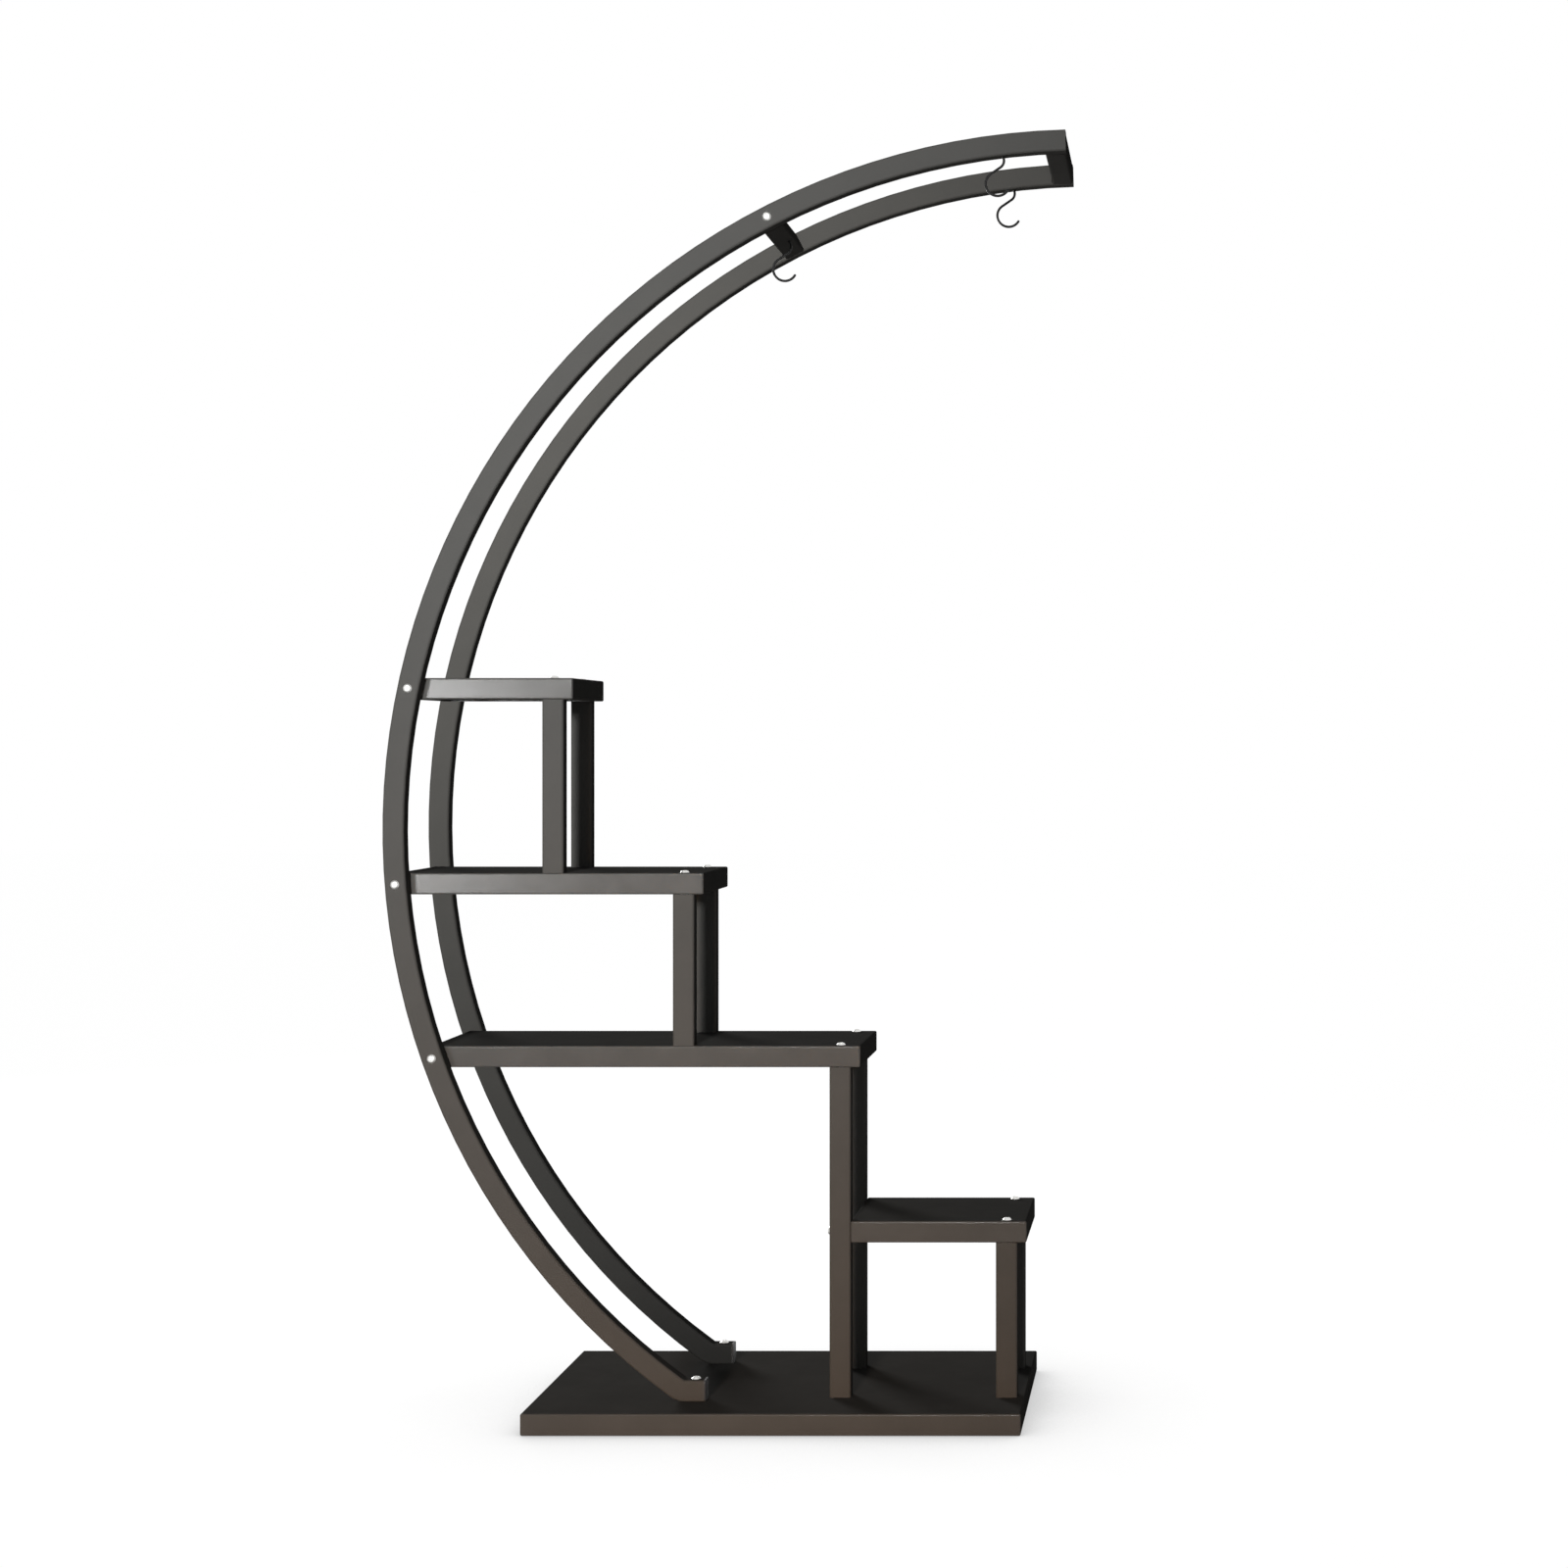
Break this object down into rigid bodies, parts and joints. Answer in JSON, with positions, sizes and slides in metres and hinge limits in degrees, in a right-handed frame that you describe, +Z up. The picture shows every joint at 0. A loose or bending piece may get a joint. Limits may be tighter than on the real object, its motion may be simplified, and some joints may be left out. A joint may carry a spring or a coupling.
{
  "type": "multi-tier plant stand",
  "caption": "Crescent plant stand: twin arched tube rails on a flat base carry stepped tray shelves on posts, with wire S-hooks under the arch for hanging pots.",
  "frame": {"origin": "on the floor, in the middle of the overall length and depth", "axes": "+X along the stand towards the open side of the arch, +Y from front to rear, +Z up"},
  "size_m": [0.7937, 0.3, 1.5027],
  "materials": {
    "black_powder_coat": "satin black powder coat",
    "zinc_plate": "bright zinc plate",
    "cap_plastic": "matte black",
    "hook_wire": "smooth black coat"
  },
  "bodies": {
    "stand": {"base_tray": "black_powder_coat", "base_weld_nuts": "zinc_plate", "crossbar_bolts": "zinc_plate", "crossbar_plugs": "zinc_plate", "front_rail": "black_powder_coat", "low_shelf": "black_powder_coat", "low_shelf_bolts": "zinc_plate", "low_shelf_front_post": "black_powder_coat", "low_shelf_rear_post": "black_powder_coat", "low_shelf_weld_nuts": "zinc_plate", "mid_crossbar": "black_powder_coat", "middle_shelf": "black_powder_coat", "middle_shelf_front_post": "black_powder_coat", "middle_shelf_rear_post": "black_powder_coat", "post_bolt_sleeves": "zinc_plate", "post_foot_bolts": "zinc_plate", "post_foot_plugs": "zinc_plate", "post_top_bolts": "zinc_plate", "post_top_plugs": "zinc_plate", "rail_foot_bolts": "zinc_plate", "rail_foot_caps": "cap_plastic", "rail_tip_plates": "black_powder_coat", "rear_rail": "black_powder_coat", "shelf_rail_bolts": "zinc_plate", "shelf_weld_nuts": "zinc_plate", "tip_crossbar": "black_powder_coat", "top_shelf": "black_powder_coat", "top_shelf_front_post": "black_powder_coat", "top_shelf_rear_post": "black_powder_coat", "wide_shelf": "black_powder_coat", "wide_shelf_front_post": "black_powder_coat", "wide_shelf_rear_post": "black_powder_coat"},
    "front_hook": {"front_hook": "hook_wire"},
    "rear_hook": {"rear_hook": "hook_wire"},
    "mid_hook": {"mid_hook": "hook_wire"}
  },
  "joints": [
    {"name": "front_hook_swing", "type": "hinge", "parent": "stand", "child": "front_hook", "pos_m": [0.31495, -0.088, 1.46807], "axis": [0, 1, 0], "range_deg": [-10, 40]},
    {"name": "rear_hook_swing", "type": "hinge", "parent": "stand", "child": "rear_hook", "pos_m": [0.31495, 0.088, 1.46807], "axis": [0, 1, 0], "range_deg": [-10, 40]},
    {"name": "mid_hook_swing", "type": "hinge", "parent": "stand", "child": "mid_hook", "pos_m": [0.05295, 0, 1.38516], "axis": [0, 1, 0], "range_deg": [-10, 40]}
  ]
}
